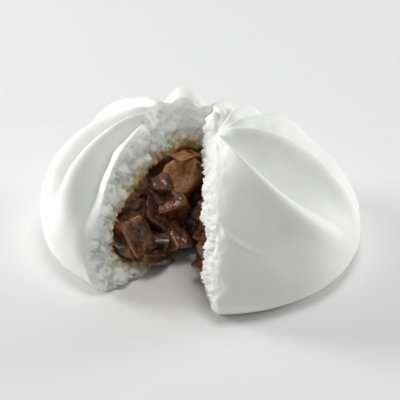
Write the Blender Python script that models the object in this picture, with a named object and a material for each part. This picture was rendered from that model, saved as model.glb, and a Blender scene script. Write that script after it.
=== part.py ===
"""A steamed pork bun, pulled open.

The dough is one solid: a pleated dome, cut from the front to behind its middle and
opened like a book, so that it hinges on the dough that is still whole at the back.
The filling is the second solid: diced pork in sauce, which runs through both halves
and sags out between them.

The closed bun is worked out first, in millimetres. Its front is at -Y, the cut is
the plane X = 0 and the hinge is the vertical line through the origin, behind the
bun's own axis. pull_open() then turns and leans each half. Angles called azimuth run
anticlockwise from the front, seen from above: the right half is 0 to 180 degrees.
"""

from itertools import product
from math import asin, pi, radians

import bmesh
import bpy
import numpy as np
from mathutils import Euler, Matrix, Vector, noise

MM = 0.001
RIGHT, LEFT = 1, -1

# Driving dimensions of the closed bun, in millimetres
BUN_RADIUS = 50.0
BUN_HEIGHT = 51.0
BELLY_HEIGHT = 8.0
BASE_RADIUS = 43.5
HINGE_BEHIND_AXIS = 18.7
UNDERSIDE_CURVE = 2.4

# The filling's cavity in the closed bun
FILLING_RADIUS = 36.0
FILLING_TOP = 33.5
FILLING_WAIST = 13.0
FILLING_BOTTOM = 2.6
FILLING_SQUARENESS = 2.3
CLEARANCE = 0.65
DICE_CLEARANCE = 1.6
ABOVE_TABLE = 0.4

# How far the bun is pulled open, in degrees
OPENING_ANGLE = 42.2
LEAN = {RIGHT: -1.0, LEFT: 7.0}
RIGID_TO = radians(80)
LEAN_STARTS_WITHIN = 12.0

# One row for each crease between two pleats, from the right face round to the left one;
# the first and last lie beyond the cut. Azimuth 31 mm from the gather, twist in degrees
# for each millimetre outwards, how far its start hooks round the gather in degrees, its
# depth in millimetres, and how far across the lobe that follows it the lobe's ridge is
PLEATS = (
    (-12, 0.35, 0, 1.2, 0.84),
    (38, 0.85, 0, 4.2, 0.82),
    (90, -0.25, -80, 3.8, 0.80),
    (139, 0.70, -58, 3.6, 0.70),
    (170, 0.40, -60, 3.0, 0.60),
    (193, 0.25, -60, 4.5, 0.40),
    (234, 0.25, -30, 6.0, 0.70),
    (272, 0.20, 0, 3.2, 0.70),
    (318, 0.30, 0, 6.5, 0.55),
    (343, 0.50, 0, 8.0, 0.66),
    (380, 0.50, 0, 4.0, 0.60),
)
PLEAT_RIDGE = 1.0
PLEAT_MEASURED_AT = 31.0
PLEAT_HOOK_REACH = 6.0
PLEAT_FULL_WIDTH = 9.0
PLEATS_START, PLEATS_FADE, PLEATS_END = 15.0, 42.0, 70.0
GATHER_PIT_DEPTH, GATHER_PIT_RADIUS = 2.5, 4.5

# The lobe behind the gather stands up as a knob: its azimuth, way out, height and radius
KNOB_AZIMUTH, KNOB_REACH, KNOB_HEIGHT, KNOB_RADIUS = 208.0, 19.0, 2.4, 12.6

# The skin rolls in towards the torn faces over this width, by this much
EDGE_ROLL_WIDTH, EDGE_ROLL_DROP = 5.0, 1.5

# The gather stays on the right half: the left half's skin is torn off this far from it
TORN_AWAY = {RIGHT: 0.0, LEFT: 7.5}
TORN_CRUMB_RISE = {RIGHT: 1.0, LEFT: 3.0}

# Torn crumb on the two faces of the opening: depth and size of its crags, the wall that
# has them in full, its crown, and how far beside the hinge it stays smooth
CRAG_DEPTH = 3.4
CRAG_SIZE = 6.0
CRAG_WALL = 9.0
FACE_CROWN = {RIGHT: 3.0, LEFT: 1.6}
CALM_BESIDE_HINGE = 3.2

# How far the left face spreads over the table at its foot, and how high and deep that is
FOOT_SPREAD = {RIGHT: 0.0, LEFT: 4.5}
FOOT_HEIGHT, FOOT_DEPTH = 18.0, 14.0

# How much lower the left half settles, as a share, at this depth behind its face
SETTLED = {RIGHT: 0.0, LEFT: 0.05}
SETTLED_DEPTH = 25.0

# Dough fills the corner at the hinge: how far out, from which height, over how much
# height, and how much of that it loses again as it leans back above
HINGE_FILLET, FILLET_FROM, FILLET_OVER = 12.0, 24.0, 10.0
LEAN_BACK, LEAN_BACK_FROM, LEAN_BACK_OVER = 0.4, 36.0, 12.0

# Rows from the gather down to the base, then in under the bun; columns round a half, and
# by how much the skin's columns crowd towards the torn faces
ROWS_TO_HINGE, ROWS_TO_BELLY, ROWS_UNDER_BELLY = 5, 15, 3
ROWS_OF_BASE, ROWS_OF_BASE_TO_AXIS = 3, 3
SKIN_COLUMNS, CAVITY_COLUMNS, FACE_LAYERS, CORE_LAYERS = 52, 12, 6, 4
CROWDED_COLUMNS = 0.09

# Pork dice that show on each face: distance in front of the bun's axis, height, how far
# the middle stands proud of the cut, three sizes, and three turns in degrees
LEFT_DICE = (
    (-5, 32.5, 1.5, (10, 8, 8), (15, 10, 10)),
    (-9, 29.0, 0.0, (8, 8, 8), (30, 20, 40)),
    (-1, 24.5, 2.5, (13, 12, 10), (30, 20, -25)),
    (10, 25.5, 0.5, (8, 8, 7), (40, 20, 15)),
    (16, 24.0, -0.5, (10, 9, 8), (30, 20, 50)),
    (24, 23.0, -1.0, (9, 8, 8), (10, 30, 20)),
    (-9, 19.5, 3.0, (10, 9, 9), (75, 30, 30)),
    (8, 17.5, 3.0, (15, 11, 9), (20, 20, -20)),
    (16, 16.0, 0.5, (10, 10, 9), (60, 20, 35)),
    (28.5, 16.0, 3.0, (9, 13, 9), (5, 8, -16)),
    (33, 9.0, 0.5, (8, 9, 8), (25, 30, 0)),
    (8, 10.5, 3.0, (9, 9, 9), (80, 30, 40)),
    (18, 8.0, 2.5, (10, 9, 9), (20, 50, 10)),
    (25, 5.0, 4.0, (12, 8, 9), (5, 10, 25)),
    (12, 6.0, 5.5, (8, 12, 8), (50, 10, 20)),
    (1, 5.5, 6.0, (11, 9, 9), (35, 30, 60)),
    (5, 4.5, 8.0, (9, 8, 8), (50, 15, 30)),
    (-7, 12.0, 5.0, (10, 9, 9), (55, 40, 10)),
)
RIGHT_DICE = (
    (-4, 27.5, 0.5, (9, 9, 9), (20, 30, 50)),
    (6, 26.0, 0.5, (10, 9, 9), (55, 10, 30)),
    (17, 23.5, 0.5, (9, 9, 8), (10, 40, 20)),
    (-3, 17.0, 3.0, (10, 9, 9), (75, 20, 10)),
    (7, 17.0, 2.0, (11, 10, 9), (35, 50, 0)),
    (17, 15.5, 1.0, (10, 9, 9), (65, 15, 30)),
    (27, 14.5, 0.5, (9, 9, 9), (25, 35, 10)),
    (0, 5.5, 5.0, (11, 9, 9), (50, 20, 20)),
    (9, 7.5, 3.5, (9, 9, 8), (15, 45, 30)),
    (15, 6.0, 2.5, (10, 9, 9), (5, 25, 60)),
    (25, 7.0, 1.5, (9, 8, 8), (40, 30, 10)),
)
DICE_BEVEL = 0.12
DICE_SLANT = 0.10
SEED = 7

# The filling that stays whole between the halves: its centre from the hinge and its radii
WEB_FORWARD, WEB_HEIGHT = 7.0, 13.8
WEB_RADII = (10.5, 13.0, 10.4)

DOUGH_COLOUR = (0.80, 0.80, 0.77)
FILLING_COLOUR = (0.13, 0.045, 0.02)


def ease(share):
    """Rises smoothly from 0 to 1 as share does."""
    share = np.clip(share, 0.0, 1.0)
    return share * share * (3.0 - 2.0 * share)


def skin_meridian():
    """Radius and height of the smooth closed bun, from the gather to the middle of the base."""
    at_hinge = asin(HINGE_BEHIND_AXIS / BUN_RADIUS)
    turn = np.concatenate(
        [
            np.linspace(0.0, at_hinge, ROWS_TO_HINGE + 1),
            np.linspace(at_hinge, pi / 2, ROWS_TO_BELLY + 1)[1:],
        ]
    )
    dome_radius = BUN_RADIUS * np.sin(turn)
    dome_height = BELLY_HEIGHT + (BUN_HEIGHT - BELLY_HEIGHT) * np.cos(turn)
    drop = BELLY_HEIGHT / (
        1 - (BASE_RADIUS / BUN_RADIUS) ** UNDERSIDE_CURVE
    ) ** (1 / UNDERSIDE_CURVE)
    under_height = np.linspace(BELLY_HEIGHT, 0.0, ROWS_UNDER_BELLY + 1)[1:]
    below = (BELLY_HEIGHT - under_height) / drop
    under_radius = BUN_RADIUS * (1 - below**UNDERSIDE_CURVE) ** (1 / UNDERSIDE_CURVE)
    base_radius = np.concatenate(
        [
            np.linspace(BASE_RADIUS, HINGE_BEHIND_AXIS, ROWS_OF_BASE + 1)[1:],
            np.linspace(HINGE_BEHIND_AXIS, 0.0, ROWS_OF_BASE_TO_AXIS + 1)[1:],
        ]
    )
    radius = np.concatenate([dome_radius, under_radius, base_radius])
    height = np.concatenate([dome_height, under_height, np.zeros(len(base_radius))])
    return radius, height


def cavity_meridian(inset):
    """Radius and height of the cavity, a squared ellipse, in as many rows as the skin."""
    wide = FILLING_RADIUS - inset
    power = 2 / FILLING_SQUARENESS
    at_hinge = asin((HINGE_BEHIND_AXIS / wide) ** (1 / power))
    rows_between = ROWS_TO_BELLY + ROWS_UNDER_BELLY + ROWS_OF_BASE
    turn = np.concatenate(
        [
            np.linspace(0.0, at_hinge, ROWS_TO_HINGE + 1),
            np.linspace(at_hinge, pi - at_hinge, rows_between + 1)[1:],
            np.linspace(pi - at_hinge, pi, ROWS_OF_BASE_TO_AXIS + 1)[1:],
        ]
    )
    radius = wide * np.clip(np.sin(turn), 0.0, 1.0) ** power
    radius[[0, -1]] = 0.0
    above = FILLING_TOP - FILLING_WAIST - inset
    below = FILLING_WAIST - FILLING_BOTTOM - inset
    rise = np.sign(np.cos(turn)) * np.abs(np.cos(turn)) ** power
    return radius, FILLING_WAIST + rise * np.where(rise > 0, above, below)


def pleat_relief(azimuth, reach, radius):
    """Height of the pleats above the smooth dome.

    Each pleat is a lobe that rises gently from its crease to a ridge and falls
    steeply to the next crease, a skewed half wave. reach is the way out from the
    gather along the skin. Lobes get shallower where they are narrow, as at the gather.
    """
    starts, twists, hooks, depths, ridges = (np.array(column) for column in zip(*PLEATS))
    shape = (-1,) + (1,) * np.ndim(reach)
    creases = starts.reshape(shape) + twists.reshape(shape) * (reach - PLEAT_MEASURED_AT)
    creases = creases + hooks.reshape(shape) * np.exp(-reach / PLEAT_HOOK_REACH)
    nearest = np.clip((azimuth >= creases).sum(axis=0) - 1, 0, len(depths) - 2)
    begins = np.take_along_axis(creases, nearest[None], 0)[0]
    width = np.take_along_axis(creases, nearest[None] + 1, 0)[0] - begins
    share = np.clip((azimuth - begins) / width, 0.0, 1.0)
    next_one = nearest + 1
    crease = depths[nearest] * (1 - share) + depths[next_one] * share
    wave = np.sin(pi * share ** (np.log(0.5) / np.log(ridges))[nearest])
    strength = 1 - np.exp(-np.radians(width) * radius / PLEAT_FULL_WIDTH)
    strength = strength * ease(reach / PLEATS_START)
    strength = strength * (1 - ease((reach - PLEATS_FADE) / (PLEATS_END - PLEATS_FADE)))
    return strength * (PLEAT_RIDGE * wave - crease * (1 - wave))


def gather_relief(azimuth, reach, radius):
    """The pit where the pleats are pinched together, and the knob behind it."""
    pit = GATHER_PIT_DEPTH * np.exp(-((radius / GATHER_PIT_RADIUS) ** 2))
    aside = np.radians(azimuth - KNOB_AZIMUTH) * radius
    off = np.hypot(aside, reach - KNOB_REACH) / KNOB_RADIUS
    return KNOB_HEIGHT * np.exp(-2 * off**2) - pit


def edge_roll(azimuth, radius):
    """How far the skin drops as it rolls in towards the torn faces."""
    from_cut = np.abs((azimuth + 180.0) % 360.0 - 180.0)
    share = np.clip(1 - np.radians(from_cut) * radius / EDGE_ROLL_WIDTH, 0.0, 1.0)
    return -EDGE_ROLL_DROP * share**2


def closed_skin(side):
    """Points of one half's outside, closed, by row and column, with the hinge as origin.

    They are points of the smooth dome, moved off the axis where the skin is torn beside
    it, and then raised by the relief that the dome has there.
    """
    radius, height = skin_meridian()
    reach = np.concatenate([[0.0], np.cumsum(np.hypot(np.diff(radius), np.diff(height)))])
    slope_out, slope_up = np.gradient(radius, reach), np.gradient(height, reach)
    share = np.linspace(0.0, 1.0, SKIN_COLUMNS + 1)
    turn = pi * (share - CROWDED_COLUMNS * np.sin(2 * pi * share))
    near_gather = (1 - ease(reach / HINGE_BEHIND_AXIS))[:, None]
    across = radius[:, None] * np.sin(turn) + TORN_AWAY[side] * near_gather
    ahead = radius[:, None] * np.cos(turn)
    from_axis = np.hypot(across, ahead)
    dome = slice(ROWS_TO_HINGE + ROWS_TO_BELLY + 1)
    height, reach, slope_out, slope_up = (
        np.where(near_gather > 0, np.interp(from_axis, radius[dome], row[dome]), row[:, None])
        for row in (height, reach, slope_out, slope_up)
    )
    azimuth = 180.0 - side * (180.0 - np.degrees(np.arctan2(across, ahead)))
    relief = pleat_relief(azimuth, reach, from_axis) + gather_relief(azimuth, reach, from_axis)
    relief = (relief + edge_roll(azimuth, from_axis)) * ease((height - BELLY_HEIGHT) / BELLY_HEIGHT)
    outward = ease((from_axis - HINGE_BEHIND_AXIS - 2.0) / 10.0)
    grown = 1 - relief * slope_up * outward / np.maximum(from_axis, 1.0)
    height = height + relief * np.where(outward < 1e-9, 1.0, slope_out)
    return np.stack([side * across * grown, -HINGE_BEHIND_AXIS - ahead * grown, height], -1)


def closed_cavity(side, inset):
    """Points of one half's cavity, or of the filling in it, laid out as the skin is."""
    radius, height = cavity_meridian(inset)
    round_half = np.linspace(0.0, 180.0, CAVITY_COLUMNS + 1)
    shape = (len(radius), len(round_half))
    radius = np.broadcast_to(radius[:, None], shape)
    height = np.broadcast_to(height[:, None], shape)
    return from_bun_axis(radius, height, round_half, side)


def from_bun_axis(radius, height, round_half, side):
    """Turns radius and angle about the bun's axis into points with the hinge as origin."""
    turn = np.radians(round_half)[None]
    across = side * radius * np.sin(turn)
    along = -HINGE_BEHIND_AXIS - radius * np.cos(turn)
    across[:, [0, -1]] = 0.0
    return np.stack([across, along, height], axis=-1)


def pull_open(points, side):
    """Opens one half: it turns about the hinge, less and less towards the back, and leans.

    Near the table, the face of the left half spreads a little into the opening. Higher
    up, dough rounds off the corner at the hinge as a hyperbola rounds off a V.
    """
    across, along, height = np.moveaxis(points, -1, 0)
    forward = -along - HINGE_BEHIND_AXIS
    foot = ease(1 - height / FOOT_HEIGHT) * ease(1 - side * across / FOOT_DEPTH)
    foot = FOOT_SPREAD[side] * foot * ease((forward - 14.0) / 16.0)
    distance = np.hypot(across, along)
    angle = np.arctan2(np.abs(across), -along)
    hold = ease((pi - angle) / (pi - RIGID_TO))
    half_opening = radians(OPENING_ANGLE) / 2
    turned = angle + half_opening * hold
    lean = np.tan(radians(LEAN[side])) * height * hold
    lean = lean * ease(distance / LEAN_STARTS_WITHIN)
    lean = lean - foot
    corner = distance / HINGE_FILLET
    fillet = HINGE_FILLET * (np.sqrt(1 + corner**2) - corner)
    fillet = fillet * ease((height - FILLET_FROM) / FILLET_OVER)
    fillet = fillet * (1 - LEAN_BACK * ease((height - LEAN_BACK_FROM) / LEAN_BACK_OVER))
    settled = SETTLED[side] * ease(side * across / SETTLED_DEPTH) * hold
    return np.stack(
        [
            side * (distance * np.sin(turned) + lean * np.cos(half_opening)),
            -distance * np.cos(turned) + lean * np.sin(half_opening) - fillet,
            height * (1 - settled),
        ],
        axis=-1,
    )


def face_directions(side):
    """Unit vectors along a cut face, away from the hinge, and out of it into the opening."""
    half_opening = radians(OPENING_ANGLE) / 2
    along = np.array([side * np.sin(half_opening), -np.cos(half_opening), 0.0])
    out = np.array([-side * np.cos(half_opening), -np.sin(half_opening), 0.0])
    return along, out


def on_face(side, forward, height, proud):
    """A point of the opening, by its place on a cut face and how far it stands proud of it."""
    closed = np.array([[0.0, -HINGE_BEHIND_AXIS - forward, height]])
    return pull_open(closed, side)[0] + proud * face_directions(side)[1]


def cut_edge(grid):
    """The outline of a cut face: over the top from the hinge, down the front and back below."""
    top, bottom = ROWS_TO_HINGE, len(grid) - 1 - ROWS_OF_BASE_TO_AXIS
    over = grid[top:0:-1, -1]
    front = grid[:, 0]
    under = grid[-2 : bottom - 1 : -1, -1]
    return np.concatenate([over, front, under])


def crumb_face(skin, cavity, side):
    """The torn dough between the skin's edge and the filling's, in layers from the inside out."""
    inner, outer = pull_open(cut_edge(cavity), side), pull_open(cut_edge(skin), side)
    share = np.linspace(0.0, 1.0, FACE_LAYERS + 1)[None, :, None]
    face = inner[:, None] + (outer - inner)[:, None] * share
    middle = 4.0 * share * (1.0 - share)
    wall = np.linalg.norm(outer - inner, axis=-1)[:, None, None]
    off_hinge = ease(np.abs(face[..., :1]) / CALM_BESIDE_HINGE)
    crags = np.array(
        [noise.fractal(Vector(p / CRAG_SIZE), 1.0, 2.0, 3) for p in face.reshape(-1, 3)]
    ).reshape(off_hinge.shape)
    loose = np.sqrt(middle) * off_hinge * np.minimum(1.0, wall / CRAG_WALL)
    standing = (FACE_CROWN[side] * middle + CRAG_DEPTH * crags) * loose
    face = face + standing * face_directions(side)[1]
    near_top = ease((face[..., 2:] - FILLING_TOP) / (BUN_HEIGHT - FILLING_TOP))
    face[..., 2:] += TORN_CRUMB_RISE[side] * middle * near_top * off_hinge
    return face


def filling_face(core, side):
    """The filling's cut face as rings round its middle, bulging a little into the opening."""
    edge = pull_open(cut_edge(core), side)
    hinge_rows = np.linspace(edge[-1], edge[0], ROWS_TO_HINGE + 1)[1:-1]
    loop = np.concatenate([edge, hinge_rows, edge[:1]])
    middle = on_face(side, 9.0, 16.0, 0.0)
    share = np.linspace(0.0, 1.0, CORE_LAYERS + 1)[None, :, None]
    face = loop[:, None] + (middle - loop)[:, None] * share
    bulge = 2.4 * (1 - (1 - share) ** 2)
    return face + bulge * face_directions(side)[1]


def solid_from_grids(name, grids, material):
    """Sews grids of points into one closed body with its faces pointing out."""
    mesh = bmesh.new()
    for grid in grids:
        corners = [[mesh.verts.new(p) for p in row] for row in (grid * MM).tolist()]
        for upper, lower in zip(corners, corners[1:]):
            for k in range(len(upper) - 1):
                mesh.faces.new((upper[k], upper[k + 1], lower[k + 1], lower[k]))
    bmesh.ops.remove_doubles(mesh, verts=mesh.verts, dist=0.002 * MM)
    bmesh.ops.dissolve_degenerate(mesh, edges=mesh.edges, dist=0.001 * MM)
    bmesh.ops.triangulate(mesh, faces=mesh.faces)
    bmesh.ops.recalc_face_normals(mesh, faces=mesh.faces)
    return new_object(name, mesh, material)


def new_object(name, mesh, material):
    """Makes a named object of a bmesh, smooth but for its sharp edges."""
    data = bpy.data.meshes.new(name)
    mesh.to_mesh(data)
    mesh.free()
    data.materials.append(material)
    data.shade_smooth()
    data.set_sharp_from_angle(angle=radians(50))
    made = bpy.data.objects.new(name, data)
    bpy.context.scene.collection.objects.link(made)
    return made


def new_material(name, colour, roughness):
    """A plain finish: colour and gloss."""
    material = bpy.data.materials.new(name)
    material.use_nodes = True
    shader = material.node_tree.nodes["Principled BSDF"]
    shader.inputs["Base Color"].default_value = (*colour, 1.0)
    shader.inputs["Roughness"].default_value = roughness
    shader.inputs["Metallic"].default_value = 0.0
    return material


def make_dough(material):
    """The bun's dough: skin, base and crumb faces, with the cavity open between the halves."""
    grids = []
    for side in (RIGHT, LEFT):
        skin, cavity = closed_skin(side), closed_cavity(side, 0.0)
        grids.append(pull_open(skin, side))
        grids.append(pull_open(cavity, side))
        grids.append(crumb_face(skin, cavity, side))
    return solid_from_grids("dough", grids, material)


def make_core(material):
    """The filling without its dice, a loose fit in the cavity."""
    grids = []
    for side in (RIGHT, LEFT):
        core = closed_cavity(side, CLEARANCE)
        grids.append(pull_open(core, side))
        grids.append(filling_face(core, side))
    return solid_from_grids("filling", grids, material)


def make_web(material):
    """The lump of filling that still joins the halves in front of the hinge."""
    mesh = bmesh.new()
    bmesh.ops.create_icosphere(mesh, subdivisions=3, radius=1.0)
    place = Matrix.Translation((0.0, -WEB_FORWARD * MM, WEB_HEIGHT * MM))
    size = Matrix.Diagonal([r * MM for r in WEB_RADII]).to_4x4()
    bmesh.ops.transform(mesh, matrix=place @ size, verts=mesh.verts)
    return new_object("web", mesh, material)


def within_cavity(points):
    """Pulls points of the filling, as forward, height and proud, back inside its cavity.

    Points below its waist that stand well proud of the face may sag over the base.
    """
    forward, height, proud = points.T
    above = FILLING_TOP - FILLING_WAIST - DICE_CLEARANCE
    below = FILLING_WAIST - FILLING_BOTTOM - DICE_CLEARANCE
    reach = np.hypot(forward, np.minimum(proud, 0.0)) / (FILLING_RADIUS - DICE_CLEARANCE)
    rise = (height - FILLING_WAIST) / np.where(height > FILLING_WAIST, above, below)
    outside = reach**FILLING_SQUARENESS + np.abs(rise) ** FILLING_SQUARENESS
    shrink = np.minimum(1.0, outside ** (-1 / FILLING_SQUARENESS))
    sagging = ease((proud - 2.5) / 3.0) * (height < FILLING_WAIST)
    height = FILLING_WAIST + (height - FILLING_WAIST) * (
        shrink + (1 - shrink) * sagging
    )
    return np.stack(
        [
            forward * shrink,
            np.maximum(height, ABOVE_TABLE),
            np.where(proud < 0, proud * shrink, proud),
        ],
        axis=-1,
    )


def make_die(side, place, draw, material):
    """One piece of pork: a slanted block with cut-off edges, turned on the cut face."""
    forward, height, proud, size, turns = place
    corners = []
    for corner in product((-0.5, 0.5), repeat=3):
        moved = np.array(corner) + draw.uniform(-DICE_SLANT, DICE_SLANT, 3)
        corners += [moved * (1 - 2 * DICE_BEVEL * (1 - axis)) for axis in np.eye(3)]
    tilt = Euler([radians(turn) for turn in turns]).to_matrix()
    block = (np.array(corners) * size) @ np.array(tilt).T
    block = within_cavity(block + np.array([forward, height, proud]))
    mesh = bmesh.new()
    for point in block:
        mesh.verts.new(on_face(side, *point) * MM)
    bmesh.ops.convex_hull(mesh, input=mesh.verts)
    inside = [v for v in mesh.verts if not v.link_faces]
    bmesh.ops.delete(mesh, geom=inside, context="VERTS")
    bmesh.ops.recalc_face_normals(mesh, faces=mesh.faces)
    return new_object("die", mesh, material)


def make_filling(material):
    """The core, the web between the halves and the dice that show, joined into one solid."""
    core = make_core(material)
    draw = np.random.default_rng(SEED)
    pieces = bpy.data.collections.new("pieces")
    joined = [make_web(material)]
    joined += [make_die(LEFT, place, draw, material) for place in LEFT_DICE]
    joined += [make_die(RIGHT, place, draw, material) for place in RIGHT_DICE]
    for piece in joined:
        pieces.objects.link(piece)
    union = core.modifiers.new("union", "BOOLEAN")
    union.operation = "UNION"
    union.operand_type = "COLLECTION"
    union.collection = pieces
    union.solver = "EXACT"
    bpy.context.view_layer.update()
    fused = bpy.data.meshes.new_from_object(
        core.evaluated_get(bpy.context.evaluated_depsgraph_get())
    )
    core.modifiers.clear()
    core.data = fused
    for piece in joined:
        bpy.data.objects.remove(piece)
    bpy.data.collections.remove(pieces)
    keep_outer_shell(core.data)
    return core


def keep_outer_shell(data):
    """Drops the small closed surfaces that a union leaves: sealed hollows and loose scraps."""
    mesh = bmesh.new()
    mesh.from_mesh(data)
    waiting = set(mesh.verts)
    shells = []
    while waiting:
        shell, edge_of_shell = set(), [waiting.pop()]
        while edge_of_shell:
            vertex = edge_of_shell.pop()
            shell.add(vertex)
            near = {edge.other_vert(vertex) for edge in vertex.link_edges} & waiting
            waiting -= near
            edge_of_shell += near
        shells.append(shell)
    shells.sort(key=len)
    for shell in shells[:-1]:
        bmesh.ops.delete(mesh, geom=list(shell), context="VERTS")
    mesh.to_mesh(data)
    mesh.free()


def centre_on_base(objects):
    """Moves the finished meshes so that the origin is the middle of their box, at the base."""
    points = [v.co for made in objects for v in made.data.vertices]
    low = Vector(min(p[k] for p in points) for k in range(3))
    high = Vector(max(p[k] for p in points) for k in range(3))
    shift = Vector((-(low.x + high.x) / 2, -(low.y + high.y) / 2, -low.z))
    for made in objects:
        made.data.transform(Matrix.Translation(shift))


def main():
    for old in list(bpy.data.objects):
        bpy.data.objects.remove(old)
    dough = make_dough(new_material("steamed dough", DOUGH_COLOUR, 0.6))
    filling = make_filling(new_material("pork in sauce", FILLING_COLOUR, 0.25))
    centre_on_base([dough, filling])


main()
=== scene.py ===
from itertools import product
from math import asin, pi, radians

import bpy
import numpy as np
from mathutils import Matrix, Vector


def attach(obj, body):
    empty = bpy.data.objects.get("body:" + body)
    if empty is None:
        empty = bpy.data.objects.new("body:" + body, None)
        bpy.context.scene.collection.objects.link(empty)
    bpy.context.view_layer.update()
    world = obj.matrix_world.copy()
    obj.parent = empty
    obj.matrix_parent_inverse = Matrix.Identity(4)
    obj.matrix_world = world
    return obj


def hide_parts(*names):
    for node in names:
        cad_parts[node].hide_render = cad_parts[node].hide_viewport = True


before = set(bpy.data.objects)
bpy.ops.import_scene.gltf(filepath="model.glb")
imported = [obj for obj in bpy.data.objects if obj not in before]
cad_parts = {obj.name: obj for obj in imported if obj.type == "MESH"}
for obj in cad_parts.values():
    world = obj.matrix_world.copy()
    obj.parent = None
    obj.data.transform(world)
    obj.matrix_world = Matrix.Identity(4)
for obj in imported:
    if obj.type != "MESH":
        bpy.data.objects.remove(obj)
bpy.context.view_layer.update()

# The dough: steamed wheat dough, raised with yeast, pleated over the filling and pinched
# together on top. It was torn open from the front to behind its middle, and the halves
# still hang together at the back. All lengths are in millimetres until a mesh is made.
RIGHT, LEFT = 1, -1
HINGE_AT = (0.64, 16.72)  # the line the halves turn about, in the row frame

BUN_RADIUS, BUN_HEIGHT = 50.0, 51.0
BELLY_HEIGHT, BASE_RADIUS = 8.0, 43.5
HINGE_BEHIND_AXIS = 18.7
UNDERSIDE_CURVE = 2.4
FILLING_RADIUS, FILLING_TOP = 36.0, 33.5
FILLING_WAIST, FILLING_BOTTOM = 13.0, 2.6
FILLING_SQUARENESS = 2.3

# How far the bun is pulled open, how its halves lean, spread at the foot and settle, and
# the dough that rounds off the corner at the hinge
OPENING_ANGLE = 42.2
LEAN = {RIGHT: -1.0, LEFT: 7.0}
LEAN_STARTS_WITHIN = 12.0
FOOT_SPREAD = {RIGHT: 0.0, LEFT: 4.5}
FOOT_HEIGHT, FOOT_DEPTH = 18.0, 14.0
SETTLED = {RIGHT: 0.0, LEFT: 0.05}
SETTLED_DEPTH = 25.0
HINGE_FILLET, FILLET_FROM, FILLET_OVER = 12.0, 24.0, 10.0
LEAN_BACK, LEAN_BACK_FROM, LEAN_BACK_OVER = 0.4, 36.0, 12.0

# How far from the gather the skin is torn off, how much the torn crumb rises near the top,
# the crown of the torn faces, the wall that is rough in full, and the skin's roll inwards
TORN_AWAY = {RIGHT: 0.0, LEFT: 7.5}
TORN_CRUMB_RISE = {RIGHT: 1.0, LEFT: 3.0}
FACE_CROWN = {RIGHT: 3.0, LEFT: 1.6}
CRAG_WALL = 9.0
EDGE_ROLL_WIDTH = {RIGHT: 8.0, LEFT: 5.0}
EDGE_ROLL_DROP = {RIGHT: 2.4, LEFT: 1.5}

# Each crease between two pleats, from the right face round to the left one: azimuth
# 31 mm from the gather, twist per millimetre, hook round the gather, depth, and how far
# across the lobe that follows it the lobe's ridge is
PLEATS = (
    (-12, 0.35, 0, 1.2, 0.84),
    (38, 0.85, 0, 4.2, 0.82),
    (90, -0.25, -80, 3.8, 0.80),
    (139, 0.70, -58, 3.6, 0.70),
    (170, 0.40, -60, 3.0, 0.60),
    (193, 0.25, -60, 4.5, 0.40),
    (234, 0.25, -30, 6.0, 0.70),
    (272, 0.20, 0, 3.2, 0.70),
    (318, 0.30, 0, 6.5, 0.55),
    (343, 0.50, 0, 8.0, 0.66),
    (380, 0.50, 0, 4.0, 0.60),
)

# How far from the gather the pleats are measured, start, fade and end, the pit of the
# gather, the knob behind it, and the low fold beside the right face
PLEAT_MEASURED_AT = 31.0
PLEAT_HOOK_REACH = 6.0
PLEAT_FULL_WIDTH = 9.0
PLEATS_START, PLEATS_FADE, PLEATS_END = 15.0, 42.0, 70.0
GATHER_PIT_DEPTH, GATHER_PIT_RADIUS = 2.5, 4.5
KNOB_AZIMUTH, KNOB_REACH, KNOB_HEIGHT = 208.0, 19.0, 2.4
KNOB_RADIUS_SQUARED = 160.0
FOLD_FROM, FOLD_LENGTH, FOLD_HEIGHT, FOLD_WIDTH = 38.0, 20.0, 0.8, 1.4
FOLD_BEND, FOLD_TURNS_AT = 0.06, 39.0

# Rows and columns of the meshes, and how much the skin's columns crowd towards the tear
ROWS_TO_HINGE, ROWS_TO_BELLY, ROWS_UNDER_BELLY = 28, 86, 12
ROWS_OF_BASE, ROWS_OF_BASE_TO_AXIS = 16, 8
SKIN_COLUMNS, CAVITY_COLUMNS, FACE_LAYERS = 190, 14, 28
CROWDED_COLUMNS = 0.09


def ease(share):
    """Rises smoothly from 0 to 1 as share does."""
    share = np.clip(share, 0.0, 1.0)
    return share * share * (3.0 - 2.0 * share)


def mottle(points, size, seed):
    """Smooth random field from -1 to 1: random values at the corners of cubes of that
    size in millimetres, blended across each cube with smoothstep weights."""
    place = np.asarray(points) / size + 500.0
    cell = np.floor(place).astype(np.int64)
    share = place - cell
    share = share * share * (3 - 2 * share)
    total = 0.0
    for corner in product((0, 1), repeat=3):
        x, y, z = np.moveaxis(cell + corner, -1, 0)
        mixed = (x * 73856093) ^ (y * 19349663) ^ (z * 83492791) ^ (seed * 2654435)
        mixed = ((mixed & 0x7FFFFFFF) * 1103515245 + 12345) & 0x7FFFFFFF
        mixed = ((mixed ^ (mixed >> 13)) * 16807) & 0x7FFFFFFF
        weight = np.prod(np.where(corner, share, 1 - share), axis=-1)
        total = total + weight * (mixed / 0x3FFFFFFF - 1.0)
    return total


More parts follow.
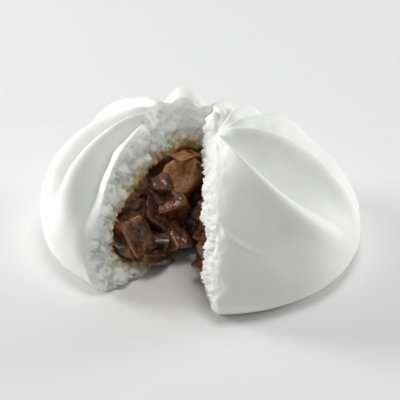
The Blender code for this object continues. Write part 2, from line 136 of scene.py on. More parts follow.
def skin_meridian():
    """Radius and height of the smooth closed bun from gather to middle of base: a quarter
    ellipse down to the belly, a squarer curve under it, then the flat base."""
    at_hinge = asin(HINGE_BEHIND_AXIS / BUN_RADIUS)
    turn = np.r_[
        np.linspace(0.0, at_hinge, ROWS_TO_HINGE + 1),
        np.linspace(at_hinge, pi / 2, ROWS_TO_BELLY + 1)[1:],
    ]
    drop = BELLY_HEIGHT / (
        1 - (BASE_RADIUS / BUN_RADIUS) ** UNDERSIDE_CURVE
    ) ** (1 / UNDERSIDE_CURVE)
    low = np.linspace(BELLY_HEIGHT, 0.0, ROWS_UNDER_BELLY + 1)[1:]
    under = (1 - ((BELLY_HEIGHT - low) / drop) ** UNDERSIDE_CURVE) ** (1 / UNDERSIDE_CURVE)
    base = np.r_[
        np.linspace(BASE_RADIUS, HINGE_BEHIND_AXIS, ROWS_OF_BASE + 1)[1:],
        np.linspace(HINGE_BEHIND_AXIS, 0.0, ROWS_OF_BASE_TO_AXIS + 1)[1:],
    ]
    radius = np.r_[BUN_RADIUS * np.sin(turn), BUN_RADIUS * under, base]
    dome = BELLY_HEIGHT + (BUN_HEIGHT - BELLY_HEIGHT) * np.cos(turn)
    return radius, np.r_[dome, low, np.zeros(len(base))]


def cavity_meridian(inset, rows_to_hinge, rows_between, rows_back):
    """Radius and height of the filling's cavity, a squared ellipse, from top to bottom."""
    wide = FILLING_RADIUS - inset
    power = 2 / FILLING_SQUARENESS
    at_hinge = asin((HINGE_BEHIND_AXIS / wide) ** (1 / power))
    turn = np.r_[
        np.linspace(0.0, at_hinge, rows_to_hinge + 1),
        np.linspace(at_hinge, pi - at_hinge, rows_between + 1)[1:],
        np.linspace(pi - at_hinge, pi, rows_back + 1)[1:],
    ]
    radius = wide * np.clip(np.sin(turn), 0.0, 1.0) ** power
    radius[[0, -1]] = 0.0
    rise = np.sign(np.cos(turn)) * np.abs(np.cos(turn)) ** power
    above, below = FILLING_TOP - FILLING_WAIST, FILLING_WAIST - FILLING_BOTTOM
    return radius, FILLING_WAIST + rise * (np.where(rise > 0, above, below) - inset)


def pleat_relief(azimuth, reach, radius):
    """Height of the pleats over the smooth dome. A lobe rises gently from its crease to
    its ridge and falls steeply to the next: half a sine wave of (share across) ** skew."""
    starts, twists, hooks, depths, ridges = (
        np.array(column, dtype=float) for column in zip(*PLEATS)
    )
    each = (-1, 1, 1)
    creases = starts.reshape(each) + twists.reshape(each) * (reach - PLEAT_MEASURED_AT)
    creases = creases + hooks.reshape(each) * np.exp(-reach / PLEAT_HOOK_REACH)
    nearest = np.clip((azimuth >= creases).sum(axis=0) - 1, 0, len(depths) - 2)
    begins = np.take_along_axis(creases, nearest[None], 0)[0]
    width = np.take_along_axis(creases, nearest[None] + 1, 0)[0] - begins
    share = np.clip((azimuth - begins) / width, 0.0, 1.0)
    crease = depths[nearest] * (1 - share) + depths[nearest + 1] * share
    wave = np.sin(pi * share ** (np.log(0.5) / np.log(ridges))[nearest])
    strength = 1 - np.exp(-np.radians(width) * radius / PLEAT_FULL_WIDTH)
    strength = strength * ease(reach / PLEATS_START)
    strength = strength * (1 - ease((reach - PLEATS_FADE) / (PLEATS_END - PLEATS_FADE)))
    return strength * (wave - crease * (1 - wave))


def small_relief(azimuth, reach, radius, side):
    """The pit of the gather and the knob behind it, both bell shaped, the low fold that
    runs outwards beside the right face, and the skin's roll in towards the torn faces,
    which falls off as a square."""
    pit = GATHER_PIT_DEPTH * np.exp(-((radius / GATHER_PIT_RADIUS) ** 2))
    aside = np.radians(azimuth - KNOB_AZIMUTH) * radius
    off = aside**2 + (reach - KNOB_REACH) ** 2
    knob = KNOB_HEIGHT * np.exp(-2 * off / KNOB_RADIUS_SQUARED)
    aside = np.radians(azimuth - FOLD_BEND * (reach - FOLD_TURNS_AT) ** 2) * radius
    share = (reach - FOLD_FROM) / FOLD_LENGTH
    fold = FOLD_HEIGHT * ease(4 * share) * ease(2 - 2 * share)
    fold = fold * np.exp(-((aside / FOLD_WIDTH) ** 2))
    from_cut = np.radians(np.abs((azimuth + 180.0) % 360.0 - 180.0)) * radius
    near = np.clip(1 - from_cut / EDGE_ROLL_WIDTH[side], 0.0, 1.0)
    return knob - pit + fold - EDGE_ROLL_DROP[side] * near**2


def from_bun_axis(radius, height, columns, side):
    """Turns a meridian's radii and heights half round the bun's axis, in that many steps,
    into rows of points with the hinge as origin."""
    turn = np.radians(np.linspace(0.0, 180.0, columns + 1))[None]
    across = side * radius[:, None] * np.sin(turn)
    across[:, [0, -1]] = 0.0
    along = -HINGE_BEHIND_AXIS - radius[:, None] * np.cos(turn)
    height = np.broadcast_to(height[:, None], across.shape)
    return np.stack([across, along, height], axis=-1)


def closed_skin(side):
    """One half's outside before it is pulled open, by row and column: points of the dome,
    moved off the axis where the skin is torn beside it, and raised by the relief there."""
    radius, height = skin_meridian()
    reach = np.r_[0.0, np.cumsum(np.hypot(np.diff(radius), np.diff(height)))]
    slope_out, slope_up = np.gradient(radius, reach), np.gradient(height, reach)
    share = np.linspace(0.0, 1.0, SKIN_COLUMNS + 1)
    turn = pi * (share - CROWDED_COLUMNS * np.sin(2 * pi * share))
    near_gather = (1 - ease(reach / HINGE_BEHIND_AXIS))[:, None]
    across = radius[:, None] * np.sin(turn) + TORN_AWAY[side] * near_gather
    ahead = radius[:, None] * np.cos(turn)
    from_axis = np.hypot(across, ahead)
    dome = slice(ROWS_TO_HINGE + ROWS_TO_BELLY + 1)
    height, reach, slope_out, slope_up = (
        np.where(near_gather > 0, np.interp(from_axis, radius[dome], row[dome]), row[:, None])
        for row in (height, reach, slope_out, slope_up)
    )
    azimuth = 180.0 - side * (180.0 - np.degrees(np.arctan2(across, ahead)))
    smooth = np.stack([side * across, -HINGE_BEHIND_AXIS - ahead, height], axis=-1)
    relief = pleat_relief(azimuth, reach, from_axis)
    relief = relief + small_relief(azimuth, reach, from_axis, side)
    relief = relief * ease((height - BELLY_HEIGHT) / BELLY_HEIGHT)
    uneven = 0.45 * mottle(smooth, 17.0, 3) + 0.14 * mottle(smooth, 6.0, 4)
    uneven = uneven + mottle(smooth, 5.0, 6) * np.exp(-((reach / 13.0) ** 2))
    relief = relief + uneven * ease(height / 6.0)
    outward = ease((from_axis - HINGE_BEHIND_AXIS - 2.0) / 10.0)
    grown = 1 - relief * slope_up * outward / np.maximum(from_axis, 1.0)
    height = height + relief * np.where(outward < 1e-9, 1.0, slope_out)
    return np.stack([side * across * grown, -HINGE_BEHIND_AXIS - ahead * grown, height], -1)


def pull_open(points, side):
    """Opens one half: it turns about the hinge by half the opening, less and less towards
    the back, leans outwards with height, and the left one spreads at its foot and settles.
    Above the filling, dough bridges the corner at the hinge as a hyperbola rounds off a V."""
    across, along, height = np.moveaxis(points, -1, 0)
    forward = -along - HINGE_BEHIND_AXIS
    foot = ease(1 - height / FOOT_HEIGHT) * ease(1 - side * across / FOOT_DEPTH)
    foot = FOOT_SPREAD[side] * foot * ease((forward - 14.0) / 16.0)
    distance = np.hypot(across, along)
    angle = np.arctan2(np.abs(across), -along)
    hold = ease((pi - angle) / radians(100))
    half_opening = radians(OPENING_ANGLE) / 2
    turned = angle + half_opening * hold
    lean = np.tan(radians(LEAN[side])) * height * hold
    lean = lean * ease(distance / LEAN_STARTS_WITHIN) - foot
    from_hinge = distance / HINGE_FILLET
    fillet = np.sqrt(1 + from_hinge**2) - from_hinge
    fillet = fillet * ease((height - FILLET_FROM) / FILLET_OVER)
    fillet = fillet * (1 - LEAN_BACK * ease((height - LEAN_BACK_FROM) / LEAN_BACK_OVER))
    settled = SETTLED[side] * ease(side * across / SETTLED_DEPTH) * hold
    return np.stack(
        [
            side * (distance * np.sin(turned) + lean * np.cos(half_opening)),
            -distance * np.cos(turned) + lean * np.sin(half_opening) - HINGE_FILLET * fillet,
            height * (1 - settled),
        ],
        axis=-1,
    )


def out_of_face(side):
    """The unit vector that points out of a half's torn face, into the opening."""
    half_opening = radians(OPENING_ANGLE) / 2
    return np.array([-side * np.cos(half_opening), -np.sin(half_opening), 0.0])


def cut_edge(grid, top, bottom):
    """The outline of a torn face: over the top from the hinge, down the front, back below."""
    return np.concatenate([grid[top:0:-1, -1], grid[:, 0], grid[-2 : bottom - 1 : -1, -1]])


def open_cavity(cavity, side):
    """The wall of the filling's space pulled open. On the left a soaked wedge of dough, bell
    shaped along the rim, hangs from it into the opening. Also returns its strength."""
    ahead = -cavity[..., 1] - HINGE_BEHIND_AXIS
    wedge = np.exp(-(((ahead - 23.0) / 6.0) ** 2)) * ease((cavity[..., 2] - 14.0) / 6.0)
    wedge = wedge * (1 - ease(np.abs(cavity[..., 0]) / 8.0)) * (side == LEFT)
    moved = pull_open(cavity + wedge[..., None] * (0.0, 2.5, -4.5), side)
    return moved + (1.2 * wedge)[..., None] * out_of_face(side), wedge


def crumb_face(skin, cavity, wedge, side):
    """The torn dough in layers from the filling's edge to the skin's. It stands proud of
    the straight cut by a low crown, soft lumps of 7 and 3 mm, and flakes whose steps come
    from folding a noise field. Returns its points and how far each is from the filling."""
    top, bottom = ROWS_TO_HINGE, len(skin) - 1 - ROWS_OF_BASE_TO_AXIS
    inner, outer = cut_edge(cavity, top, bottom), pull_open(cut_edge(skin, top, bottom), side)
    wedge = cut_edge(wedge, top, bottom)
    share = np.linspace(0.0, 1.0, FACE_LAYERS + 1)[None, :, None]
    face = inner[:, None] + (outer - inner)[:, None] * share
    middle = 4.0 * share * (1.0 - share)
    wall = np.linalg.norm(outer - inner, axis=-1)[:, None, None]
    off_hinge = ease(2.8 * np.abs(face[..., :1]) / 9.0)
    thick = np.minimum(1.0, wall / CRAG_WALL) * off_hinge
    lumps = 1.3 * mottle(face, 7.0, 11) + 2.0 * np.abs(mottle(face, 3.4, 12))
    folded = mottle(face * (1, 1, 0.6) + 1.5 * lumps[..., None], 2.6, 13) * 2.5
    flakes = 1.5 * (folded - np.floor(folded)) ** 2 + 0.45 * mottle(face, 1.1, 14)
    calm = 1 - 0.45 * ease((face[..., 2] - 38.0) / 6.0)
    rough = ((lumps + flakes) * calm)[..., None]
    standing = FACE_CROWN[side] * middle * np.sqrt(middle)
    standing = standing + rough * np.minimum(1.0, 2.2 * middle)
    face = face + standing * thick * out_of_face(side)
    near_top = ease((face[..., 2:] - FILLING_TOP) / (BUN_HEIGHT - FILLING_TOP))
    face[..., 2:] += TORN_CRUMB_RISE[side] * middle * near_top * off_hinge
    from_filling = share * wall - 5.0 * wedge[:, None, None]
    from_filling = from_filling + 1.2 * mottle(face, 3.0, 15)[..., None]
    return face, np.maximum(from_filling, 0.0)


def torn_edge(points, side):
    """Makes the line of the tear ragged: points within 4 mm of the cut move in or out of
    the opening by about 1 mm at most, after a random field."""
    depth = -(points - pull_open(np.zeros(3), side)) @ out_of_face(side)
    near = (1 - ease(np.abs(depth) / 4.0)) * ease(points[..., 2] / 2.0)
    near = near * ease(np.abs(points[..., 0]) / 4.0)
    shift = 0.7 * mottle(points, 3.0, 21) + 0.35 * mottle(points, 1.2, 22)
    return points + (near * shift)[..., None] * out_of_face(side)


def sew(name, grids, material, fields=()):
    """One mesh from grids of points: each cell is a face, and points closer than 2
    micrometres are merged. fields are named point attributes, one array for each grid."""
    corners, faces, count = [], [], 0
    for grid in grids:
        rows, columns = grid.shape[:2]
        index = count + np.arange(rows * columns).reshape(rows, columns)
        corners.append(grid.reshape(-1, 3))
        cell = [index[:-1, :-1], index[:-1, 1:], index[1:, 1:], index[1:, :-1]]
        faces.append(np.stack(cell, axis=-1).reshape(-1, 4))
        count += rows * columns
    corners, faces = np.concatenate(corners), np.concatenate(faces)
    key = np.round(corners / 0.002).astype(np.int64)
    _, first, same = np.unique(key, axis=0, return_index=True, return_inverse=True)
    lists = [list(dict.fromkeys(face)) for face in same.reshape(-1)[faces].tolist()]
    lists = [face for face in lists if len(face) > 2]
    mesh = bpy.data.meshes.new(name)
    place = corners[first] + (*HINGE_AT, 0.0)
    mesh.from_pydata((place * 0.001).tolist(), [], lists)
    for label, values in fields:
        values = np.concatenate([np.ravel(v) for v in values])[first]
        layer = mesh.attributes.new(label, "FLOAT", "POINT")
        layer.data.foreach_set("value", values.astype(np.float32))
    mesh.materials.append(material)
    mesh.validate()
    piece = bpy.data.objects.new(name, mesh)
    bpy.context.scene.collection.objects.link(piece)
    bpy.context.view_layer.objects.active = piece
    piece.select_set(True)
    bpy.ops.object.mode_set(mode="EDIT")
    bpy.ops.mesh.select_all(action="SELECT")
    bpy.ops.mesh.normals_make_consistent(inside=False)
    bpy.ops.object.mode_set(mode="OBJECT")
    piece.select_set(False)
    mesh.shade_smooth()
    return piece


def linear(hex_colour):
    """An sRGB hex colour as linear red, green, blue and alpha."""
    values = np.array([int(hex_colour[k : k + 2], 16) / 255 for k in (1, 3, 5)])
    curved = np.where(values <= 0.04045, values / 12.92, ((values + 0.055) / 1.055) ** 2.4)
    return (*curved.tolist(), 1.0)


def add_node(material, kind, settings=(), **links):
    """Adds a node: settings are its properties, links its inputs by name, or by number after
    an underscore, each a plain value or another node's output."""
    node = material.node_tree.nodes.new(kind)
    for name, value in dict(settings).items():
        setattr(node, name, value)
    for name, value in links.items():
        socket = node.inputs[int(name[1:]) if name[0] == "_" else name.replace("_", " ")]
        if isinstance(value, bpy.types.NodeSocket):
            material.node_tree.links.new(value, socket)
        else:
            socket.default_value = value
    return node


def new_finish(name):
    """An empty material and its Principled shader."""
    material = bpy.data.materials.new(name)
    material.use_nodes = True
    return material, material.node_tree.nodes["Principled BSDF"]


def join(material, output, shader, name):
    """Links an output to one of the shader's inputs."""
    material.node_tree.links.new(output, shader.inputs[name])


# Steamed dough: a smooth, slightly moist white skin that lets light in a few
# millimetres, and a matte cottony crumb that browns where the sauce has soaked in. Noise
# scales are per metre: 60 gives clouds of 17 mm and 420 patches of 2.4 mm. Real pores are
# finer than a millimetre, and 900 draws them at 1.1 mm so that they show.
dough_finish, shader = new_finish("steamed wheat dough")
torn = add_node(dough_finish, "ShaderNodeAttribute", {"attribute_name": "torn"}).outputs["Fac"]
soak = add_node(dough_finish, "ShaderNodeAttribute", {"attribute_name": "soak"}).outputs["Fac"]
where = add_node(dough_finish, "ShaderNodeTexCoord").outputs["Object"]
patches = add_node(dough_finish, "ShaderNodeTexNoise", Vector=where, Scale=420.0, Detail=3.0)
clouds = add_node(dough_finish, "ShaderNodeTexNoise", Vector=where, Scale=60.0, Detail=2.0)
skin_white = add_node(
    dough_finish, "ShaderNodeMix", {"data_type": "RGBA"},
    _0=clouds.outputs["Fac"], _6=linear("#eaebe6"), _7=linear("#f2f3f0"),
)
crumb_white = add_node(
    dough_finish, "ShaderNodeMix", {"data_type": "RGBA"},
    _0=patches.outputs["Fac"], _6=linear("#eaece2"), _7=linear("#ffffff"),
)
plain = add_node(
    dough_finish, "ShaderNodeMix", {"data_type": "RGBA"},
    _0=torn, _6=skin_white.outputs[2], _7=crumb_white.outputs[2],
)
blotch = add_node(
    dough_finish, "ShaderNodeMath", {"operation": "MULTIPLY_ADD"},
    _0=patches.outputs["Fac"], _1=0.7, _2=-0.35,
)
soaked = add_node(
    dough_finish, "ShaderNodeMath", {"operation": "ADD"}, _0=soak, _1=blotch.outputs[0]
)
stain = add_node(dough_finish, "ShaderNodeValToRGB", Fac=soaked.outputs[0])
ramp = stain.color_ramp
ramp.elements[0].position, ramp.elements[0].color = 0.38, linear("#ffffff")
ramp.elements[1].position, ramp.elements[1].color = 1.0, linear("#7c5434")
for position, colour in (
    (0.5, "#f3ecd8"), (0.62, "#e2cfa6"), (0.76, "#cfa572"), (0.88, "#ad7949"),
):
    ramp.elements.new(position).color = linear(colour)
soaked_crumb = add_node(
    dough_finish, "ShaderNodeMix", {"data_type": "RGBA", "blend_type": "MULTIPLY"},
    _0=torn, _6=plain.outputs[2], _7=stain.outputs["Color"],
)
join(dough_finish, soaked_crumb.outputs[2], shader, "Base Color")
pores = add_node(dough_finish, "ShaderNodeTexNoise", Vector=where, Scale=900.0, Detail=4.0)
grain = add_node(
    dough_finish, "ShaderNodeMath", {"operation": "MULTIPLY_ADD"}, _0=torn, _1=0.42, _2=0.03
)
relief = add_node(
    dough_finish, "ShaderNodeBump",
    Strength=grain.outputs[0], Distance=0.0008, Height=pores.outputs["Fac"],
)
join(dough_finish, relief.outputs["Normal"], shader, "Normal")
shader.inputs["Roughness"].default_value = 0.55
shader.inputs["IOR"].default_value = 1.4
shader.inputs["Specular IOR Level"].default_value = 0.3
shader.inputs["Subsurface Weight"].default_value = 0.25
shader.inputs["Subsurface Radius"].default_value = (1.0, 0.9, 0.75)
shader.inputs["Subsurface Scale"].default_value = 0.004

grids, torn_field, soak_field = [], [], []
rows_between = ROWS_TO_BELLY + ROWS_UNDER_BELLY + ROWS_OF_BASE
for side in (RIGHT, LEFT):
    skin = closed_skin(side)
    radius, height = cavity_meridian(0.0, ROWS_TO_HINGE, rows_between, ROWS_OF_BASE_TO_AXIS)
    cavity, wedge = open_cavity(from_bun_axis(radius, height, CAVITY_COLUMNS, side), side)
    crumb, from_filling = crumb_face(skin, cavity, wedge, side)
    for grid in (pull_open(skin, side), cavity, crumb):
        grids.append(torn_edge(grid, side))
    on_skin, on_wall = np.zeros(skin.shape[:2]), np.ones(wedge.shape)
    torn_field += [on_skin, on_wall, np.ones(crumb.shape[:2])]
    soak_field += [on_skin, on_wall, 0.2 + 0.8 * np.exp(-(from_filling / 5.0))]
dough = sew(
    "dough_torn_bun", grids, dough_finish, (("torn", torn_field), ("soak", soak_field))
)
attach(dough, "root")
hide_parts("dough")

# The sauce: thick and dark brown, of soy and sugar, with finely cut meat in it. It fills
# the space between the dice, clings to the dough, sags between the halves and shines.
SAUCE_ROWS, SAUCE_COLUMNS, SAUCE_RINGS = 90, 36, 22
SAUCE_ROWS_TO_HINGE, SAUCE_ROWS_BACK = 12, 10
SAUCE_PAST_WALL = 0.35
SAUCE_BULGE = 2.2

# Hollows in its face: distance in front of the bun's axis, height and depth
SAUCE_HOLLOWS = ((20, 27, 2.5), (33, 17, 3.0), (0, 5, 3.0))

# The lump of sauce that stays whole between the halves: its radii and its centre
WEB_RADII, WEB_CENTRE = (10.5, 13.0, 10.2), (0.0, -7.0, 13.8)


def face_middle(side, forward, height, proud):
    """A point of the opening from its place on a torn face and how far it stands proud."""
    closed = np.array([[0.0, -HINGE_BEHIND_AXIS - forward, height]])
    return pull_open(closed, side)[0] + proud * out_of_face(side)


# Dark brown sauce: almost black where it is deep and redder where it is thin, with fine
# bits of meat (4 mm patches, 2 mm lumps) that break up its shine.
sauce_finish, shader = new_finish("dark brown sauce")
where = add_node(sauce_finish, "ShaderNodeTexCoord").outputs["Object"]
bits = add_node(sauce_finish, "ShaderNodeTexNoise", Vector=where, Scale=260.0, Detail=4.0)
depth = add_node(sauce_finish, "ShaderNodeValToRGB", Fac=bits.outputs["Fac"])
ramp = depth.color_ramp
ramp.elements[0].position, ramp.elements[0].color = 0.35, linear("#2b180f")
ramp.elements[1].position, ramp.elements[1].color = 0.72, linear("#4e2d1c")
join(sauce_finish, depth.outputs["Color"], shader, "Base Color")
lumps = add_node(sauce_finish, "ShaderNodeTexNoise", Vector=where, Scale=500.0, Detail=3.0)
relief = add_node(
    sauce_finish, "ShaderNodeBump", Strength=0.5, Distance=0.001, Height=lumps.outputs["Fac"]
)
join(sauce_finish, relief.outputs["Normal"], shader, "Normal")
join(sauce_finish, relief.outputs["Normal"], shader, "Coat Normal")
shader.inputs["Roughness"].default_value = 0.3
shader.inputs["IOR"].default_value = 1.42
shader.inputs["Coat Weight"].default_value = 0.45
shader.inputs["Coat Roughness"].default_value = 0.12

grids = []
for side in (RIGHT, LEFT):
    radius, height = cavity_meridian(
        -SAUCE_PAST_WALL, SAUCE_ROWS_TO_HINGE, SAUCE_ROWS, SAUCE_ROWS_BACK
    )
    lump = from_bun_axis(radius, height, SAUCE_COLUMNS, side)
    grids.append(pull_open(lump, side))
    edge = cut_edge(lump, SAUCE_ROWS_TO_HINGE, len(lump) - 1 - SAUCE_ROWS_BACK)
    edge = pull_open(edge, side)
    back = np.linspace(edge[-1], edge[0], 24)[1:-1]
    loop = np.concatenate([edge, back, edge[:1]])
    share = np.linspace(0.0, 1.0, SAUCE_RINGS + 1)[None, :, None]
    face = loop[:, None] + (face_middle(side, 9.0, 16.0, 0.0) - loop)[:, None] * share
    away = ease(np.hypot(face[..., 0], face[..., 1]) / 6.0)
    bulge = SAUCE_BULGE * (1 - (1 - share[..., 0]) ** 2)
    uneven = 0.9 * mottle(face, 4.0, 31) + 0.4 * mottle(face, 1.6, 32)
    uneven = uneven * ease(3 * share[..., 0])
    ahead = np.hypot(face[..., 0], face[..., 1]) - HINGE_BEHIND_AXIS
    for hollow_ahead, hollow_height, deep in SAUCE_HOLLOWS:
        off = ((ahead - hollow_ahead) / 6.0) ** 2 + ((face[..., 2] - hollow_height) / 5.0) ** 2
        uneven = uneven - deep * np.exp(-off) * ease(3 * share[..., 0])
    face = face + ((bulge + uneven) * away)[..., None] * out_of_face(side)
    grids.append(face)
sauce = sew("sauce", grids, sauce_finish)
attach(sauce, "root")
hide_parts("filling")

# A ball, x = sin(a) cos(b), y = sin(a) sin(b), z = cos(a), stretched and mottled
turn_up = np.linspace(0.0, pi, 41)[:, None]
turn_round = np.linspace(0.0, 2 * pi, 65)[None]
ball = np.stack(
    [
        np.sin(turn_up) * np.cos(turn_round),
        np.sin(turn_up) * np.sin(turn_round),
        np.cos(turn_up) + 0.0 * turn_round,
    ],
    axis=-1,
)
ball[:, -1] = ball[:, 0]
ball[[0, -1]] = ball[[0, -1], :1]
web_points = ball * WEB_RADII + WEB_CENTRE
web_points = web_points + ball * (0.8 * mottle(web_points, 4.0, 33))[..., None]
web = sew("sauce_between_halves", [web_points], sauce_finish)
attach(web, "root")
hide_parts("filling")

# The pork: braised and cut into dice of 9 to 10 mm, a few larger. The cuts have gone round
# and uneven in cooking, the flesh is drawn into fibres, and sauce coats every piece.
# Each row: distance in front of the bun's axis, height, proud, three sizes, three turns,
# and how light the piece is, from 0 to 1 and over: partly how much sauce covers it and
# partly painted shade and light, so pieces lying deep in the opening where shade falls
# are drawn near black and some lit ones lighter
LEFT_DICE = (
    (-5, 32.5, 1.5, (10, 8, 8), (15, 10, 10), 1.15),
    (-9, 29.0, 0.0, (8, 8, 8), (30, 20, 40), 0.10),
    (-1, 24.5, 2.5, (13, 12, 10), (30, 20, -25), 1.25),
    (10, 25.5, 0.5, (8, 8, 7), (40, 20, 15), 0.35),
    (16, 24.0, -0.5, (10, 9, 8), (30, 20, 50), 0.12),
    (24, 23.0, -1.0, (9, 8, 8), (10, 30, 20), 0.10),
    (-9, 19.5, 3.0, (10, 9, 9), (75, 30, 30), 0.20),
    (8, 17.5, 3.0, (15, 11, 9), (20, 20, -20), 0.55),
    (16, 16.0, 0.5, (10, 10, 9), (60, 20, 35), 0.15),
    (28.5, 16.0, 3.0, (9, 13, 9), (5, 8, -16), 0.45),
    (33, 9.0, 0.5, (8, 9, 8), (25, 30, 0), 0.18),
    (8, 10.5, 3.0, (9, 9, 9), (80, 30, 40), 0.35),
    (18, 8.0, 2.5, (10, 9, 9), (20, 50, 10), 0.15),
    (25, 5.0, 4.0, (12, 8, 9), (5, 10, 25), 0.22),
    (12, 6.0, 5.5, (8, 12, 8), (50, 10, 20), 0.55),
    (1, 5.5, 6.0, (11, 9, 9), (35, 30, 60), 0.05),
    (5, 4.5, 8.0, (9, 8, 8), (50, 15, 30), 0.05),
    (-7, 12.0, 5.0, (10, 9, 9), (55, 40, 10), 0.12),
)
RIGHT_DICE = (
    (-4, 27.5, 0.5, (9, 9, 9), (20, 30, 50), 0.10),
    (6, 26.0, 0.5, (10, 9, 9), (55, 10, 30), 0.45),
    (17, 23.5, 0.5, (9, 9, 8), (10, 40, 20), 0.60),
    (-3, 17.0, 3.0, (10, 9, 9), (75, 20, 10), 0.12),
    (7, 17.0, 2.0, (11, 10, 9), (35, 50, 0), 0.12),
    (17, 15.5, 1.0, (10, 9, 9), (65, 15, 30), 0.55),
    (27, 14.5, 0.5, (9, 9, 9), (25, 35, 10), 0.60),
    (0, 5.5, 5.0, (11, 9, 9), (50, 20, 20), 0.05),
    (9, 7.5, 3.5, (9, 9, 8), (15, 45, 30), 0.10),
    (15, 6.0, 2.5, (10, 9, 9), (5, 25, 60), 0.60),
    (25, 7.0, 1.5, (9, 8, 8), (40, 30, 10), 0.45),
)
DICE_CELLS = 14


def turned(angles):
    """The rotation by three angles in degrees, about X, Y and then Z."""
    (cx, cy, cz), (sx, sy, sz) = np.cos(np.radians(angles)), np.sin(np.radians(angles))
    about_x = np.array([[1, 0, 0], [0, cx, -sx], [0, sx, cx]])
    about_y = np.array([[cy, 0, sy], [0, 1, 0], [-sy, 0, cy]])
    about_z = np.array([[cz, -sz, 0], [sz, cz, 0], [0, 0, 1]])
    return about_z @ about_y @ about_x


def within_cavity(points):
    """Pulls points, as forward, height and proud, back inside the filling's space. Below
    its waist, points that stand well proud of the face may sag over the base."""
    forward, height, proud = np.moveaxis(points, -1, 0)
    above, below = FILLING_TOP - FILLING_WAIST + 0.4, FILLING_WAIST - FILLING_BOTTOM - 1.1
    reach = np.hypot(forward, np.minimum(proud, 0.0)) / (FILLING_RADIUS + 0.2)
    rise = (height - FILLING_WAIST) / np.where(height > FILLING_WAIST, above, below)
    outside = reach**FILLING_SQUARENESS + np.abs(rise) ** FILLING_SQUARENESS
    shrink = np.minimum(1.0, np.maximum(outside, 1e-6) ** (-1 / FILLING_SQUARENESS))
    sag = shrink + (1 - shrink) * ease((proud - 2.5) / 3.0) * (height < FILLING_WAIST)
    height = np.maximum(FILLING_WAIST + (height - FILLING_WAIST) * sag, 0.4)
    return np.stack([forward * shrink, height, np.where(proud < 0, proud * shrink, proud)], -1)


def block_sides(cells):
    """The six sides of a cube from -1 to 1, each a grid of points."""
    line = np.linspace(-1.0, 1.0, cells + 1)
    first, second = np.meshgrid(line, line, indexing="ij")
    for axis in range(3):
        for end in (-1.0, 1.0):
            yield np.roll(np.stack([np.full_like(first, end), first, second], -1), axis, -1)


def pork_dice(side, places, seed):
    """Blocks with rounded edges: a cube's point p goes to p / |p| in the norm of power 9,
    then gets slanted and tapered sides, hollows and fibres. Returns grids, and for each
    point how near it is to an edge and how light its block is."""
    grids, edges, shades = [], [], []
    draw = np.random.default_rng(seed)
    for number, (forward, height, proud, size, angles, light) in enumerate(places):
        slant = draw.uniform(-0.17, 0.17, (3, 3))
        taper = draw.uniform(-0.28, 0.28, 3)
        turn = turned(angles)
        for cube in block_sides(DICE_CELLS):
            block = cube / np.sum(np.abs(cube) ** 9, -1, keepdims=True) ** (1 / 9)
            spread = np.sort(np.abs(block), axis=-1)
            # How near a point is to an edge: the finish paints edges lighter, partly as fat and
            # partly as painted highlight
            edge = ease((spread[..., 1] - 0.78) / 0.18)
            block = block * (1 + taper * block[..., [1, 2, 0]])
            block = block @ (np.eye(3) + slant).T
            place = block * np.array(size) / 2
            seen = place + number * 31.0
            out = block / np.linalg.norm(block, axis=-1, keepdims=True)
            dents = 0.75 * mottle(seen, 4.5, seed) + 0.28 * mottle(seen, 1.7, seed + 1)
            fibre = 0.16 * mottle(seen * (0.35, 1.0, 1.0), 0.75, seed + 2)
            place = (place + out * (dents + fibre)[..., None]) @ turn.T
            place = within_cavity(place + np.array([forward, height, proud]))
            closed = np.stack(
                [0.0 * edge, -HINGE_BEHIND_AXIS - place[..., 0], place[..., 1]], axis=-1
            )
            grids.append(pull_open(closed, side) + place[..., 2:] * out_of_face(side))
            edges.append(edge)
            shades.append(np.full(edge.shape, float(light)))
    return grids, edges, shades


# Braised pork: flesh brown on the cut faces, lighter and more orange at the edges, partly
# fat and partly painted highlight, darker where sauce lies on it and where shade is
# painted on, all under a wet shine. Real fibres are thinner than a millimetre, and 700
# draws them at 1.4 mm so that they show.
pork_finish, shader = new_finish("braised pork in sauce")
edge = add_node(pork_finish, "ShaderNodeAttribute", {"attribute_name": "edge"}).outputs["Fac"]
# The shade attribute is each piece's lightness: its sauce cover mixed with painted shade and
# light
shade = add_node(pork_finish, "ShaderNodeAttribute", {"attribute_name": "shade"}).outputs["Fac"]
where = add_node(pork_finish, "ShaderNodeTexCoord").outputs["Object"]
flesh = add_node(
    pork_finish, "ShaderNodeTexNoise", Vector=where, Scale=260.0, Detail=6.0, Roughness=0.65
)
tone = add_node(
    pork_finish, "ShaderNodeMath", {"operation": "MULTIPLY_ADD"}, _0=shade, _1=0.60, _2=-0.36
)
mixed = add_node(
    pork_finish, "ShaderNodeMath", {"operation": "MULTIPLY_ADD"},
    _0=flesh.outputs["Fac"], _1=1.7, _2=-0.35,
)
tone = add_node(
    pork_finish, "ShaderNodeMath", {"operation": "ADD"},
    _0=mixed.outputs[0], _1=tone.outputs[0],
)
meat = add_node(pork_finish, "ShaderNodeValToRGB", Fac=tone.outputs[0])
ramp = meat.color_ramp
ramp.elements[0].position, ramp.elements[0].color = 0.2, linear("#3d1f10")
ramp.elements[1].position, ramp.elements[1].color = 0.95, linear("#cc9163")
ramp.elements.new(0.55).color = linear("#824a2a")
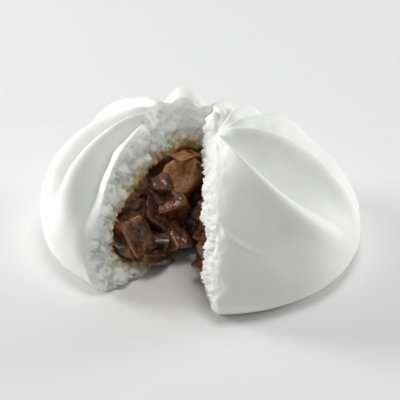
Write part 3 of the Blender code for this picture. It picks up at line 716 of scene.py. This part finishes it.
# Every edge is lighter and more orange, partly fat and partly a painted highlight where edges
# catch the light, weaker on pieces with painted shade
fat_and_painted_highlight = add_node(
    pork_finish, "ShaderNodeMath", {"operation": "MULTIPLY"}, _0=edge, _1=shade
)
flesh_fat_and_painted_highlight = add_node(
    pork_finish, "ShaderNodeMix", {"data_type": "RGBA"},
    _0=fat_and_painted_highlight.outputs[0], _6=meat.outputs["Color"], _7=linear("#cd8f5e"),
)
join(pork_finish, flesh_fat_and_painted_highlight.outputs[2], shader, "Base Color")
fibres = add_node(pork_finish, "ShaderNodeTexNoise", Vector=where, Scale=700.0, Detail=3.0)
relief = add_node(
    pork_finish, "ShaderNodeBump", Strength=0.75, Distance=0.001, Height=fibres.outputs["Fac"]
)
join(pork_finish, relief.outputs["Normal"], shader, "Normal")
wet = add_node(
    pork_finish, "ShaderNodeBump", Strength=0.28, Distance=0.001, Height=fibres.outputs["Fac"]
)
join(pork_finish, wet.outputs["Normal"], shader, "Coat Normal")
shader.inputs["Roughness"].default_value = 0.42
shader.inputs["IOR"].default_value = 1.4
shader.inputs["Coat Weight"].default_value = 1.0
shader.inputs["Coat Roughness"].default_value = 0.08

for name, side, places, seed in (
    ("pork_dice_left", LEFT, LEFT_DICE, 41),
    ("pork_dice_right", RIGHT, RIGHT_DICE, 51),
):
    grids, edges, shades = pork_dice(side, places, seed)
    dice = sew(name, grids, pork_finish, (("edge", edges), ("shade", shades)))
    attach(dice, "root")
    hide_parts("filling")

# The table: a plain painted board, wide enough to fill the picture. Its matte white gives
# only a soft shadow under the bun.
table_finish, shader = new_finish("matte white board")
shader.inputs["Base Color"].default_value = linear("#f2f2f2")
shader.inputs["Roughness"].default_value = 0.9
mesh = bpy.data.meshes.new("table")
mesh.from_pydata([(-2, -2, 0), (2, -2, 0), (2, 2, 0), (-2, 2, 0)], [], [(0, 1, 2, 3)])
mesh.materials.append(table_finish)
table = bpy.data.objects.new("table", mesh)
bpy.context.scene.collection.objects.link(table)

# Light and camera: soft daylight all round, a broad light overhead and one low behind each
# shoulder of the bun, as the bright rims show. The camera looks down on the opening from
# its right. Places are given from the hinge, across and away from the camera.
CAMERA_TURN = 21.7
CAMERA_AT, CAMERA_AIM = (-7.09, -599.13, 385.22), (-7.09, -20.0, 18.88)
LIGHT_AIM = (0, -15, 20)
studio = bpy.context.scene
studio.world = bpy.data.worlds.new("daylight")
studio.world.use_nodes = True
sky = studio.world.node_tree.nodes["Background"]
sky.inputs["Color"].default_value = linear("#fdfefe")
sky.inputs["Strength"].default_value = 0.26


def seen_from_camera(x, y, z):
    """A point given from the hinge, across and away from the camera, in millimetres."""
    turn = radians(CAMERA_TURN)
    return Vector(
        (
            x * np.cos(turn) - y * np.sin(turn) + HINGE_AT[0],
            x * np.sin(turn) + y * np.cos(turn) + HINGE_AT[1],
            z,
        )
    ) * 0.001


for name, place, power, size in (
    ("overhead", (60, -40, 900), 2.6, 0.4),
    ("behind_left", (-820, 290, 245), 7.0, 0.35),
    ("behind_right", (850, 350, 160), 5.4, 0.35),
):
    light = bpy.data.lights.new(name, "AREA")
    light.energy = power
    light.size = size
    lamp = bpy.data.objects.new(name, light)
    studio.collection.objects.link(lamp)
    lamp.location = seen_from_camera(*place)
    aim = seen_from_camera(*LIGHT_AIM) - lamp.location
    lamp.rotation_euler = aim.to_track_quat("-Z", "Y").to_euler()

lens = bpy.data.cameras.new("camera")
lens.lens = 175.2
camera = bpy.data.objects.new("camera", lens)
studio.collection.objects.link(camera)
camera.location = seen_from_camera(*CAMERA_AT)
aim = seen_from_camera(*CAMERA_AIM) - camera.location
camera.rotation_euler = aim.to_track_quat("-Z", "Y").to_euler()
studio.camera = camera
studio.view_settings.view_transform = "Standard"
